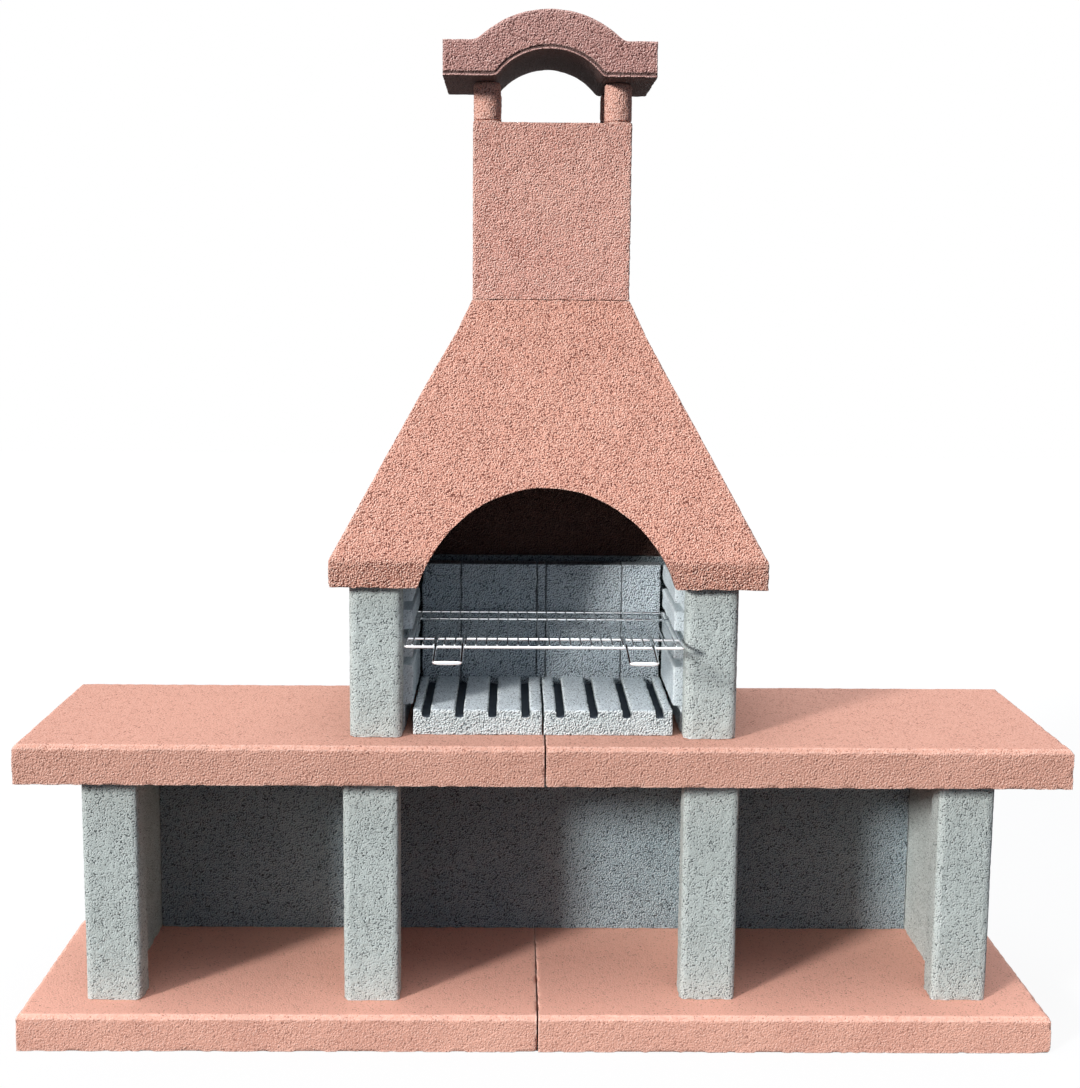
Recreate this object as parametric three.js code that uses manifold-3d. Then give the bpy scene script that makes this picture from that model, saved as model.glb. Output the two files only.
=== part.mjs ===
// An outdoor masonry barbecue cast in coloured concrete: a base course with four legs and back
// panels, a worktop, a firebox with its lining, a hood, a chimney with four columns and an arched
// cap, and a wire grill that slides in grooved holders.
// Millimetres, +X to the right, +Y to the back, +Z up. The origin is the centre of the bottom of
// the whole object's box, grill handles included.
import * as THREE from "three";
import Module from "manifold-3d";
import { mergeVertices } from "three/addons/utils/BufferGeometryUtils.js";

const wasm = await Module();
wasm.setup();

// Courses of slabs
const courseWidth = 2200;
const courseDepth = 570;
const slabJoint = 3;
const slabChamfer = 8;
const baseThickness = 80;
const worktopThickness = 85;
// The base course and all that stands on it is laid this far to the left of the worktop.
const baseSetAside = 11;
// The base's right slab is this much shorter than its left one.
const baseRightShortfall = 6;

// Legs: a front post with a thinner wall behind it
const legHeight = 500;
const legFrontInset = 80;
const outerLegInset = 130;
const innerLegSpan = 846;
const legPostWidth = 120;
const legPostDepth = 72;
const legCorner = 13;
const legWallThickness = 60;
const legWallInset = 14;
const backPanelThickness = 60;
const buttJoint = 0.5;
// The inner legs stand this far to the right of the base's middle, the right legs this far back.
const innerLegsSetAside = 6;
const rightLegsSetBack = 10;
// The post of the outer right leg reaches this much further out from its wall.
const outerRightPostReach = 7;

// Firebox: side panels like the legs, and a back
const fireboxWidth = 816;
const fireboxHeight = 325;
const fireboxFrontInset = 73;
const fireboxPostWidth = 111;
const fireboxPostDepth = 60;
const fireboxCorner = 17;
const fireboxWallThickness = 60;
const fireboxWallInset = 10;
const fireboxBackThickness = 60;
const postRearCorner = 6;
// The firebox, its lining and the grill stand this far to the left of the worktop's middle.
const fireboxSetAside = 4;

// Lining: grill holders, fireback panels and hearth slabs
const liningTopGap = 5;
const holderThickness = 60;
const holderEdge = 3;
const grooveDepth = 24;
const grooveHeight = 18;
const groovePitch = 60;
const highestGrooveDrop = 57;
const footNotchDepth = 17;
const footNotchHeight = 58;
const firebackThickness = 55;
const firebackAirGap = 28;
const firebackSideGap = 4;
const firebackTopGap = 8;
const firebackInnerWidth = 173.5;
const jointStripWidth = 20;
const jointStripRecess = 2;
const hearthThickness = 55;
const hearthOverhang = 34;
const hearthSideGap = 1.5;
const hearthJoint = 3;
const hearthSlotWidth = 17;
const hearthSlotDepth = 15;
const hearthInnerMargin = 35.5;
const hearthOuterMargin = 28;

// Hood
const hoodSideOverhang = 47;
const hoodFrontOverhang = 40;
const hoodHeight = 591;
const hoodLipHeight = 56;
const hoodTopWidth = 343;
const hoodTopDepth = 256;
const hoodWall = 57;
const hoodBackWall = 50;
const hoodSeatWidth = 103;
const archHalfChord = 266;
const archRise = 201;
// The hood's lip is set this far to the right of the arch in it.
const hoodLipSetAside = 4.5;

// Chimney
const flueHeight = 377;
const flueSideMargin = 0;
const flueFrontMargin = 0;
const flueRearMargin = 4;
const flueWall = 50;
const columnRadius = 30;
const columnHeight = 80.5;
const columnPadHeight = 4;
const columnMargin = 0.5;
const capSideOverhang = 54;
const capFrontOverhang = 79;
const capRearOverhang = 1;
const capThickness = 74.5;
const capCrownRise = 63.5;
const capCrownSpread = 42;
const capCrownFillet = 30;
const capArchRise = 56;
const capArchOverlap = 1;
const capArchFillet = 16;
// The hood's top and the flue with its columns stand this far to the right of the worktop's middle.
const chimneySetAside = 8.5;

// Grill and handles
const rodRadius = 3;
const wireRadius = 1.75;
const grillLength = 400;
const grillSideGap = 10.5;
const grillRearGap = 3;
const ringBend = 10;
const crossRodInset = 86;
const wireEnd = 2;
const wireMargin = 16;
const weldSink = 0.4;
const handleWireGap = 0.2;
const runningGap = 0.3;
const handleReach = 128;
const handleDrop = 12;
const handleTail = 5;
const handleBend = 8;
const gripHalfLength = 27;
const gripHalfDepth = 4.5;
const gripHalfHeight = 3.8;

// Counts
const grooves = 3;
const hearthSlots = 4;
const wires = 26;
// A handle's legs lie just inside these two wires, counted from the side of the grill.
const handleOuterWire = 3;
const handleInnerWire = 6;
const grillGroove = 1;
const cornerSteps = 4;
const archSteps = 28;
const humpSteps = 12;
const filletSteps = 4;
const bendSteps = 5;
const columnSides = 32;
const rodSides = 8;
const gripSides = 16;

// The overrun of every cut
const overrun = 20;

// Levels and faces that follow from the sizes, from the floor and from the middle of the slabs
const frontEdge = -courseDepth / 2;
const rearEdge = courseDepth / 2;
const worktopBottom = baseThickness + legHeight;
const worktopTop = worktopBottom + worktopThickness;
const hoodBottom = worktopTop + fireboxHeight;
const hoodTop = hoodBottom + hoodHeight;
const flueTop = hoodTop + flueHeight;
const columnBottom = flueTop + columnPadHeight;
const capBottom = columnBottom + columnHeight;
const outerLegFace = courseWidth / 2 - outerLegInset;
const innerLegFace = innerLegSpan / 2;
const fireboxFace = fireboxWidth / 2;
const fireboxFront = frontEdge + fireboxFrontInset;
const fireboxWallInner = fireboxFace - fireboxWallInset - fireboxWallThickness;
const liningTop = hoodBottom - liningTopGap;
const holderInner = fireboxWallInner - buttJoint - holderThickness;
const holderFront = fireboxFront + fireboxPostDepth + buttJoint;
const firebackRear = rearEdge - fireboxBackThickness - firebackAirGap;
const firebackFront = firebackRear - firebackThickness;
const hoodHalf = fireboxFace + hoodSideOverhang;
const hoodTopHalf = hoodTopWidth / 2;
const hoodFront = fireboxFront - hoodFrontOverhang;
const hoodTopFront = rearEdge - hoodTopDepth;
const flueHalf = hoodTopHalf - flueSideMargin;
const flueFront = hoodTopFront + flueFrontMargin;
const flueRear = rearEdge - flueRearMargin;
const columnInset = columnRadius + columnMargin;
const capArchHalfChord = flueHalf - columnInset - columnRadius + capArchOverlap;
const capCrownHalfChord = capArchHalfChord + capCrownSpread;
const capHalf = flueHalf + capSideOverhang;
const capFront = flueFront - capFrontOverhang;
const capRear = flueRear + capRearOverhang;
const highestGrooveFloor = liningTop - highestGrooveDrop;
const rodLevel = highestGrooveFloor - grillGroove * groovePitch + runningGap + rodRadius;
const grillHalf = holderInner + grooveDepth - grillSideGap - rodRadius;
const grillRear = firebackFront - grillRearGap - rodRadius;
const grillFront = grillRear - grillLength;
const wirePitch = (2 * (grillHalf - wireMargin)) / (wires - 1);
const gripFront = grillFront - handleReach;

const finishes = {
  rose: { color: 0xc98a74, roughness: 0.95, metalness: 0 },
  mauve: { color: 0xb9857a, roughness: 0.95, metalness: 0 },
  grey: { color: 0x9aa49f, roughness: 0.95, metalness: 0 },
  lining: { color: 0x8b979b, roughness: 0.92, metalness: 0 },
  chrome: { color: 0xd8dadc, roughness: 0.18, metalness: 1 },
};

// A closed geometry as a solid that can be cut and joined.
function solid(geometry) {
  const bare = geometry.clone();
  bare.deleteAttribute("normal");
  bare.deleteAttribute("uv");
  const merged = mergeVertices(bare);
  const vertProperties = merged.attributes.position.array;
  const triVerts = new Uint32Array(merged.index.array);
  return new wasm.Manifold(new wasm.Mesh({ numProp: 3, vertProperties, triVerts }));
}

// A solid back as a geometry of three.js.
function geometryOf(body) {
  const mesh = body.getMesh();
  const geometry = new THREE.BufferGeometry();
  geometry.setAttribute("position", new THREE.BufferAttribute(mesh.vertProperties, 3));
  geometry.setIndex(new THREE.BufferAttribute(mesh.triVerts, 1));
  geometry.computeVertexNormals();
  return geometry;
}

// A geometry from a flat list of coordinates and a list of triangles.
function indexed(positions, indices) {
  const geometry = new THREE.BufferGeometry();
  geometry.setAttribute("position", new THREE.Float32BufferAttribute(positions, 3));
  geometry.setIndex(indices);
  geometry.computeVertexNormals();
  return geometry;
}

// A box between two corners.
function block([x0, y0, z0], [x1, y1, z1]) {
  const box = new THREE.BoxGeometry(x1 - x0, y1 - y0, z1 - z0);
  return box.translate((x0 + x1) / 2, (y0 + y1) / 2, (z0 + z1) / 2);
}

// An outline in plan raised from z0 to z1.
function raised(shape, z0, z1) {
  const options = { depth: z1 - z0, bevelEnabled: false, curveSegments: cornerSteps };
  return new THREE.ExtrudeGeometry(shape, options).translate(0, 0, z0);
}

// An outline in elevation, X across and Z up, drawn through from y0 to y1.
function drawnThrough(shape, y0, y1) {
  const options = { depth: y1 - y0, bevelEnabled: false };
  return new THREE.ExtrudeGeometry(shape, options).rotateX(Math.PI / 2).translate(0, y1, 0);
}

// A closed skin over level rectangles, each { x0, x1, y0, y1, z }, from the lowest to the highest.
function stackedRectangles(levels) {
  const positions = levels.flatMap(({ x0, x1, y0, y1, z }) => [
    [x0, y0, z],
    [x1, y0, z],
    [x1, y1, z],
    [x0, y1, z],
  ]);
  const indices = [0, 2, 1, 0, 3, 2];
  for (let level = 0; level + 1 < levels.length; level += 1) {
    for (let side = 0; side < 4; side += 1) {
      const a = level * 4 + side;
      const b = level * 4 + ((side + 1) % 4);
      indices.push(a, b, b + 4, a, b + 4, a + 4);
    }
  }
  const top = (levels.length - 1) * 4;
  indices.push(top, top + 1, top + 2, top, top + 2, top + 3);
  return indexed(positions.flat(), indices);
}

// A round rod along level or sloping points, closed into a ring or with flat ends.
function rod(points, radius, closed = false) {
  const count = points.length;
  const at = (index) => (closed ? points[(index + count) % count] : points[index]);
  const positions = [];
  points.forEach((point, index) => {
    const before = at(index - 1) ?? point;
    const after = at(index + 1) ?? point;
    const along = after.clone().sub(before).normalize();
    const across = new THREE.Vector3(0, 0, 1).cross(along).normalize();
    const upward = along.clone().cross(across);
    for (let side = 0; side < rodSides; side += 1) {
      const angle = (2 * Math.PI * side) / rodSides;
      const spot = point.clone().addScaledVector(across, radius * Math.cos(angle));
      spot.addScaledVector(upward, radius * Math.sin(angle));
      positions.push(...spot.toArray());
    }
  });
  const indices = [];
  const spans = closed ? count : count - 1;
  for (let span = 0; span < spans; span += 1) {
    for (let side = 0; side < rodSides; side += 1) {
      const next = (side + 1) % rodSides;
      const a = span * rodSides + side;
      const b = span * rodSides + next;
      const c = ((span + 1) % count) * rodSides + side;
      const d = ((span + 1) % count) * rodSides + next;
      indices.push(a, b, d, a, d, c);
    }
  }
  const last = (count - 1) * rodSides;
  for (let side = 1; !closed && side + 1 < rodSides; side += 1) {
    indices.push(0, side + 1, side);
    indices.push(last, last + side, last + side + 1);
  }
  return indexed(positions, indices);
}

// The points of a round bend at a corner between two unit directions that lead away from it.
function bend(corner, back, on, reach) {
  const start = corner.clone().addScaledVector(back, reach);
  const end = corner.clone().addScaledVector(on, reach);
  return new THREE.QuadraticBezierCurve3(start, corner, end).getPoints(bendSteps);
}

// A level line with a round hump in its middle, filleted at both feet, from left to right.
function humpedLine({ halfWidth, level, rise, halfChord, fillet }) {
  const radius = (halfChord ** 2 + rise ** 2) / (2 * rise);
  const centre = level + rise - radius;
  const footLevel = level + fillet;
  const footX = Math.sqrt((radius + fillet) ** 2 - (footLevel - centre) ** 2);
  const reach = Math.atan2(footX, footLevel - centre);
  const right = [];
  for (let step = 0; step <= humpSteps; step += 1) {
    const angle = (reach * step) / humpSteps;
    right.push([radius * Math.sin(angle), centre + radius * Math.cos(angle)]);
  }
  for (let step = 1; step <= filletSteps; step += 1) {
    const angle = reach * (1 - step / filletSteps);
    right.push([footX - fillet * Math.sin(angle), footLevel - fillet * Math.cos(angle)]);
  }
  right.push([halfWidth, level]);
  const left = right.slice(1).map(([x, z]) => [-x, z]);
  const line = left.reverse().concat(right);
  return line.map(([x, z]) => new THREE.Vector2(x, z));
}

const masonry = new THREE.Group();
const baseCourse = new THREE.Group();
const firebox = new THREE.Group();
const grill = new THREE.Group();

// Adds a named mesh of one finish to a group.
function add(group, name, geometry, finish) {
  const mesh = new THREE.Mesh(geometry, new THREE.MeshStandardMaterial(finishes[finish]));
  mesh.name = name;
  group.add(mesh);
}

// One of the two slabs of a course, chamfered on its free top edges. side is -1 or 1. Its end is
// drawn in by the shortfall.
function courseSlab(side, bottom, thickness, shortfall = 0) {
  const seam = side * (slabJoint / 2);
  const rectangle = (inset, z) => {
    const end = side * (courseWidth / 2 - shortfall - inset);
    return {
      x0: Math.min(seam, end),
      x1: Math.max(seam, end),
      y0: frontEdge + inset,
      y1: rearEdge - inset,
      z,
    };
  };
  const top = bottom + thickness;
  return stackedRectangles([
    rectangle(0, bottom),
    rectangle(0, top - slabChamfer),
    rectangle(slabChamfer, top),
  ]);
}

// A side panel in plan: a post with round corners and, behind it, a thinner wall set in from the
// post's outer face. side is -1 on the left and 1 on the right.
function sidePanelShape(side, { face, front, width, depth, corner, wallInset, wall }) {
  const x = (inward) => side * (face - inward);
  const postRear = front + depth;
  const shape = new THREE.Shape();
  shape.moveTo(x(wallInset), rearEdge);
  shape.lineTo(x(wallInset), postRear);
  shape.lineTo(x(postRearCorner), postRear);
  shape.quadraticCurveTo(x(0), postRear, x(0), postRear - postRearCorner);
  shape.lineTo(x(0), front + corner);
  shape.quadraticCurveTo(x(0), front, x(corner), front);
  shape.lineTo(x(width - corner), front);
  shape.quadraticCurveTo(x(width), front, x(width), front + corner);
  shape.lineTo(x(width), postRear - postRearCorner);
  shape.quadraticCurveTo(x(width), postRear, x(width - postRearCorner), postRear);
  shape.lineTo(x(wallInset + wall), postRear);
  shape.lineTo(x(wallInset + wall), rearEdge);
  shape.closePath();
  return shape;
}

// A leg. Its post stands back by setBack, and reaches further out from the wall by reach.
function leg(side, face, setBack = 0, reach = 0) {
  const shape = sidePanelShape(side, {
    face: face + reach,
    front: frontEdge + legFrontInset + setBack,
    width: legPostWidth,
    depth: legPostDepth,
    corner: legCorner,
    wallInset: legWallInset + reach,
    wall: legWallThickness,
  });
  return raised(shape, baseThickness, worktopBottom);
}

// A panel between two legs' walls, level with the slabs' rear edge.
function backPanel(x0, x1) {
  const front = rearEdge - backPanelThickness;
  return block([x0, front, baseThickness], [x1, rearEdge, worktopBottom]);
}

function addBaseCourse() {
  const leftSlab = courseSlab(-1, 0, baseThickness);
  const rightSlab = courseSlab(1, 0, baseThickness, baseRightShortfall);
  add(baseCourse, "base_slab_left", leftSlab, "rose");
  add(baseCourse, "base_slab_right", rightSlab, "rose");
  const innerLeft = innerLegFace - innerLegsSetAside;
  const innerRight = innerLegFace + innerLegsSetAside;
  add(baseCourse, "base_leg_outer_left", leg(-1, outerLegFace), "grey");
  add(baseCourse, "base_leg_inner_left", leg(-1, innerLeft), "grey");
  add(baseCourse, "base_leg_inner_right", leg(1, innerRight, rightLegsSetBack), "grey");
  const outerRight = leg(1, outerLegFace, rightLegsSetBack, outerRightPostReach);
  add(baseCourse, "base_leg_outer_right", outerRight, "grey");
  const wallOuter = legWallInset - buttJoint;
  const wallInner = legWallInset + legWallThickness + buttJoint;
  const bayEnd = outerLegFace - wallInner;
  const left = backPanel(-bayEnd, wallOuter - innerLeft);
  const centre = backPanel(wallInner - innerLeft, innerRight - wallInner);
  const right = backPanel(innerRight - wallOuter, bayEnd);
  add(baseCourse, "base_back_left", left, "grey");
  add(baseCourse, "base_back_centre", centre, "grey");
  add(baseCourse, "base_back_right", right, "grey");
}

function addWorktop() {
  add(masonry, "worktop_left", courseSlab(-1, worktopBottom, worktopThickness), "rose");
  add(masonry, "worktop_right", courseSlab(1, worktopBottom, worktopThickness), "rose");
}

function fireboxSide(side) {
  const shape = sidePanelShape(side, {
    face: fireboxFace,
    front: fireboxFront,
    width: fireboxPostWidth,
    depth: fireboxPostDepth,
    corner: fireboxCorner,
    wallInset: fireboxWallInset,
    wall: fireboxWallThickness,
  });
  return raised(shape, worktopTop, hoodBottom);
}

// A grill holder: a lining panel whose inner face has level grooves and a notch along its foot.
function grillHolder(side) {
  const x = (inward) => side * (holderInner + inward);
  const shape = new THREE.Shape();
  shape.moveTo(x(footNotchDepth), worktopTop);
  shape.lineTo(x(footNotchDepth), worktopTop + footNotchHeight);
  shape.lineTo(x(0), worktopTop + footNotchHeight);
  for (let groove = grooves - 1; groove >= 0; groove -= 1) {
    const floor = highestGrooveFloor - groove * groovePitch;
    shape.lineTo(x(0), floor);
    shape.lineTo(x(grooveDepth), floor);
    shape.lineTo(x(grooveDepth), floor + grooveHeight);
    shape.lineTo(x(0), floor + grooveHeight);
  }
  shape.lineTo(x(0), liningTop - holderEdge);
  shape.lineTo(x(holderEdge), liningTop);
  shape.lineTo(x(holderThickness), liningTop);
  shape.lineTo(x(holderThickness), worktopTop);
  shape.closePath();
  return drawnThrough(shape, holderFront, firebackFront - buttJoint);
}

// A hearth slab: a plate on the worktop with open slots along its top, from front to back.
function hearthSlab(side) {
  const inner = hearthJoint / 2;
  const outer = holderInner - hearthSideGap;
  const firstSlot = inner + hearthInnerMargin;
  const lastSlot = outer - hearthOuterMargin;
  const top = worktopTop + hearthThickness;
  const shape = new THREE.Shape();
  shape.moveTo(side * inner, worktopTop);
  shape.lineTo(side * inner, top);
  for (let slot = 0; slot < hearthSlots; slot += 1) {
    const centre = firstSlot + ((lastSlot - firstSlot) * slot) / (hearthSlots - 1);
    const near = side * (centre - hearthSlotWidth / 2);
    const far = side * (centre + hearthSlotWidth / 2);
    shape.lineTo(near, top);
    shape.lineTo(near, top - hearthSlotDepth);
    shape.lineTo(far, top - hearthSlotDepth);
    shape.lineTo(far, top);
  }
  shape.lineTo(side * outer, top);
  shape.lineTo(side * outer, worktopTop);
  shape.closePath();
  return drawnThrough(shape, holderFront - hearthOverhang, firebackFront - buttJoint);
}

// A panel of the fireback between x0 and x1, its front face set back by a recess.
function firebackPanel(x0, x1, recess = 0) {
  const top = hoodBottom - firebackTopGap;
  return block([x0, firebackFront + recess, worktopTop], [x1, firebackRear, top]);
}

function addFirebox() {
  add(firebox, "firebox_side_left", fireboxSide(-1), "grey");
  add(firebox, "firebox_side_right", fireboxSide(1), "grey");
  const half = fireboxWallInner - buttJoint;
  const backFront = rearEdge - fireboxBackThickness;
  const back = block([-half, backFront, worktopTop], [half, rearEdge, hoodBottom]);
  add(firebox, "firebox_back", back, "grey");
  add(firebox, "grill_holder_left", grillHolder(-1), "lining");
  add(firebox, "grill_holder_right", grillHolder(1), "lining");
  const strip = jointStripWidth / 2;
  const innerEdge = strip + buttJoint;
  const seam = innerEdge + firebackInnerWidth;
  const outerEdge = seam + buttJoint;
  const end = holderInner - firebackSideGap;
  add(firebox, "fireback_outer_left", firebackPanel(-end, -outerEdge), "lining");
  add(firebox, "fireback_inner_left", firebackPanel(-seam, -innerEdge), "lining");
  add(firebox, "fireback_joint_strip", firebackPanel(-strip, strip, jointStripRecess), "lining");
  add(firebox, "fireback_inner_right", firebackPanel(innerEdge, seam), "lining");
  add(firebox, "fireback_outer_right", firebackPanel(outerEdge, end), "lining");
  add(firebox, "hearth_slab_left", hearthSlab(-1), "lining");
  add(firebox, "hearth_slab_right", hearthSlab(1), "lining");
}

// The round-headed mouth in the hood's front, as a solid to cut away.
function hoodMouth() {
  const radius = (archHalfChord ** 2 + archRise ** 2) / (2 * archRise);
  const centre = hoodBottom + archRise - radius;
  const reach = Math.atan2(archHalfChord, hoodBottom - centre);
  const shape = new THREE.Shape();
  shape.moveTo(archHalfChord, hoodBottom - overrun);
  for (let step = 0; step <= archSteps; step += 1) {
    const angle = reach * (1 - (2 * step) / archSteps);
    shape.lineTo(radius * Math.sin(angle), centre + radius * Math.cos(angle));
  }
  shape.lineTo(-archHalfChord, hoodBottom - overrun);
  shape.closePath();
  return drawnThrough(shape, hoodFront - overrun, hoodTopFront);
}

// The hood: an upright lip, three sloping sides and an upright back, open from its seat to the
// flue.
function hood() {
  const rectangle = (half, y0, y1, z, aside = 0) => {
    return { x0: aside - half, x1: aside + half, y0, y1, z };
  };
  const lipTop = hoodBottom + hoodLipHeight;
  const skin = stackedRectangles([
    rectangle(hoodHalf, hoodFront, rearEdge, hoodBottom, hoodLipSetAside),
    rectangle(hoodHalf, hoodFront, rearEdge, lipTop, hoodLipSetAside),
    rectangle(hoodTopHalf, hoodTopFront, rearEdge, hoodTop, chimneySetAside),
  ]);
  const innerRear = rearEdge - hoodBackWall;
  const seatHalf = hoodHalf - hoodSeatWidth;
  const seatRear = rearEdge - fireboxBackThickness;
  const seatOpening = stackedRectangles([
    rectangle(seatHalf, hoodFront + hoodWall, seatRear, hoodBottom - overrun, hoodLipSetAside),
    rectangle(seatHalf, hoodFront + hoodWall, seatRear, lipTop + overrun, hoodLipSetAside),
  ]);
  const topHalf = hoodTopHalf - hoodWall;
  const topFront = hoodTopFront + hoodWall;
  const chamber = stackedRectangles([
    rectangle(hoodHalf - hoodWall, hoodFront + hoodWall, innerRear, lipTop, hoodLipSetAside),
    rectangle(topHalf, topFront, innerRear, hoodTop, chimneySetAside),
    rectangle(topHalf, topFront, innerRear, hoodTop + overrun, chimneySetAside),
  ]);
  const hollow = solid(seatOpening).add(solid(chamber)).add(solid(hoodMouth()));
  return geometryOf(solid(skin).subtract(hollow));
}

// The places of the four columns on the flue block, by name.
function columnPlaces() {
  const x = flueHalf - columnInset;
  const front = flueFront + columnInset;
  const rear = flueRear - columnInset;
  return {
    front_left: [chimneySetAside - x, front],
    front_right: [chimneySetAside + x, front],
    rear_left: [chimneySetAside - x, rear],
    rear_right: [chimneySetAside + x, rear],
  };
}

// An upright round column, its foot at a given level.
function column([x, y], bottom, height) {
  const post = new THREE.CylinderGeometry(columnRadius, columnRadius, height, columnSides);
  return post.rotateX(Math.PI / 2).translate(x, y, bottom + height / 2);
}

// The flue block: an upright square tube with a low round pad at each corner of its top.
function flueBlock() {
  const left = chimneySetAside - flueHalf;
  const right = chimneySetAside + flueHalf;
  let body = solid(block([left, flueFront, hoodTop], [right, flueRear, flueTop]));
  for (const place of Object.values(columnPlaces())) {
    body = body.add(solid(column(place, flueTop - columnPadHeight, 2 * columnPadHeight)));
  }
  const bore = block(
    [left + flueWall, flueFront + flueWall, hoodTop - overrun],
    [right - flueWall, flueRear - flueWall, flueTop + overrun],
  );
  return geometryOf(body.subtract(solid(bore)));
}

// The cap: a slab bent up into an arch over the flue, alike all the way through.
function chimneyCap() {
  const soffit = humpedLine({
    halfWidth: capHalf,
    level: capBottom,
    rise: capArchRise,
    halfChord: capArchHalfChord,
    fillet: capArchFillet,
  });
  const crown = humpedLine({
    halfWidth: capHalf,
    level: capBottom + capThickness,
    rise: capCrownRise,
    halfChord: capCrownHalfChord,
    fillet: capCrownFillet,
  });
  const shape = new THREE.Shape(soffit.concat(crown.reverse()));
  return drawnThrough(shape, capFront, capRear);
}

function addChimney() {
  add(masonry, "hood", hood(), "rose");
  add(masonry, "chimney_flue", flueBlock(), "rose");
  for (const [name, place] of Object.entries(columnPlaces())) {
    const geometry = column(place, columnBottom, columnHeight);
    add(masonry, "chimney_column_" + name, geometry, "rose");
  }
  add(masonry, "chimney_cap", chimneyCap(), "mauve");
}

// The grill: a ring of rod with two more rods across it, and wires from front to back welded on
// top.
function cookingGrill() {
  const at = (x, y, z = rodLevel) => new THREE.Vector3(x, y, z);
  const frontLeft = at(-grillHalf, grillFront);
  const frontRight = at(grillHalf, grillFront);
  const rearRight = at(grillHalf, grillRear);
  const rearLeft = at(-grillHalf, grillRear);
  const toRight = at(1, 0, 0);
  const toLeft = at(-1, 0, 0);
  const toRear = at(0, 1, 0);
  const toFront = at(0, -1, 0);
  const ring = [
    ...bend(frontLeft, toRear, toRight, ringBend),
    ...bend(frontRight, toLeft, toRear, ringBend),
    ...bend(rearRight, toFront, toLeft, ringBend),
    ...bend(rearLeft, toRight, toFront, ringBend),
  ];
  let body = solid(rod(ring, rodRadius, true));
  for (const y of [grillFront + crossRodInset, grillRear - crossRodInset]) {
    body = body.add(solid(rod([at(-grillHalf, y), at(grillHalf, y)], rodRadius)));
  }
  const wireLevel = rodLevel + rodRadius + wireRadius - weldSink;
  for (let wire = 1; wire <= wires; wire += 1) {
    const x = (wire - 1) * wirePitch + wireMargin - grillHalf;
    const front = at(x, grillFront - wireEnd, wireLevel);
    const rear = at(x, grillRear + wireEnd, wireLevel);
    body = body.add(solid(rod([front, rear], wireRadius)));
  }
  return geometryOf(body);
}

// A handle: a rod bent to a U that lies on the two front rods between two wires and hangs lower
// at its grip, which is swollen in the middle.
function grillHandle(side) {
  const wireX = (number) => grillHalf - wireMargin - (number - 1) * wirePitch;
  const beside = wireRadius + rodRadius + handleWireGap;
  const near = wireX(handleInnerWire) + beside;
  const far = wireX(handleOuterWire) - beside;
  const lying = rodLevel + 2 * rodRadius;
  const hanging = lying - handleDrop;
  const tail = grillFront + crossRodInset + handleTail;
  const knee = grillFront - handleBend;
  const at = (x, y, z) => new THREE.Vector3(side * x, y, z);
  const corners = [
    at(near, tail, lying),
    at(near, knee, lying),
    at(near, gripFront, hanging),
    at(far, gripFront, hanging),
    at(far, knee, lying),
    at(far, tail, lying),
  ];
  const toward = (from, to) => corners[to].clone().sub(corners[from]).normalize();
  const points = [corners[0]];
  for (let index = 1; index + 1 < corners.length; index += 1) {
    const back = toward(index, index - 1);
    const on = toward(index, index + 1);
    points.push(...bend(corners[index], back, on, handleBend));
  }
  points.push(corners[corners.length - 1]);
  const grip = new THREE.SphereGeometry(1, gripSides, rodSides);
  grip.rotateZ(Math.PI / 2);
  grip.scale(gripHalfLength, gripHalfDepth, gripHalfHeight);
  grip.translate((side * (near + far)) / 2, gripFront, hanging);
  return geometryOf(solid(rod(points, rodRadius)).add(solid(grip)));
}

function addGrill() {
  add(grill, "cooking_grill", cookingGrill(), "chrome");
  add(grill, "grill_handle_left", grillHandle(-1), "chrome");
  add(grill, "grill_handle_right", grillHandle(1), "chrome");
}

addBaseCourse();
addWorktop();
addFirebox();
addChimney();
addGrill();
baseCourse.position.x = -baseSetAside;
firebox.position.x = -fireboxSetAside;
grill.position.x = -fireboxSetAside;

// The whole is moved so that the middle of its box's bottom is the origin.
const barbecue = new THREE.Group();
const boxFront = gripFront - gripHalfDepth;
barbecue.position.set(baseSetAside / 2, -(boxFront + rearEdge) / 2, 0);
barbecue.add(masonry, baseCourse, firebox, grill);

const assembly = new THREE.Group();
assembly.add(barbecue);

export default assembly;
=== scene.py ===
"""The looks of an outdoor masonry barbecue cast in coloured concrete, with a chromed wire grill.

Every casting is a closed skin worked out with numpy, in millimetres, then eased along its edges
and roughened like cast concrete. Millimetres turn to metres when a skin becomes a mesh.
"""
import math

import bpy
import numpy as np
from mathutils import Matrix, Vector


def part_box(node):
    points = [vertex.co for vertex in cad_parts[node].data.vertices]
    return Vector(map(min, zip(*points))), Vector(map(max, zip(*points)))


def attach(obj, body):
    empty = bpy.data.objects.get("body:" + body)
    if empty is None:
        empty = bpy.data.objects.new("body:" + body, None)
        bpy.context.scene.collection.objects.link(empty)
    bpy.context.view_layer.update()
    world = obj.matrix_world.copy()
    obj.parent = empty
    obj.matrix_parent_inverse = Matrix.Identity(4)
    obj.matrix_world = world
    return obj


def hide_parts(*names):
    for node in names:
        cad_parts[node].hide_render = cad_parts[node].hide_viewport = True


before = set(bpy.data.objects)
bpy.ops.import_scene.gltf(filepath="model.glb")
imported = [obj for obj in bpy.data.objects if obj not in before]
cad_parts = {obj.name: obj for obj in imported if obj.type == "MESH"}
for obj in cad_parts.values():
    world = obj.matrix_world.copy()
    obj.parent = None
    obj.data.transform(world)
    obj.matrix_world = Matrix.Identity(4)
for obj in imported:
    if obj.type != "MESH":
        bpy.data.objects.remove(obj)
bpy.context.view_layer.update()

MM = 0.001

# The middle of the slabs in the frame of the whole object, in millimetres
MIDDLE_X = 5.5
MIDDLE_Y = 55.75

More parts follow.
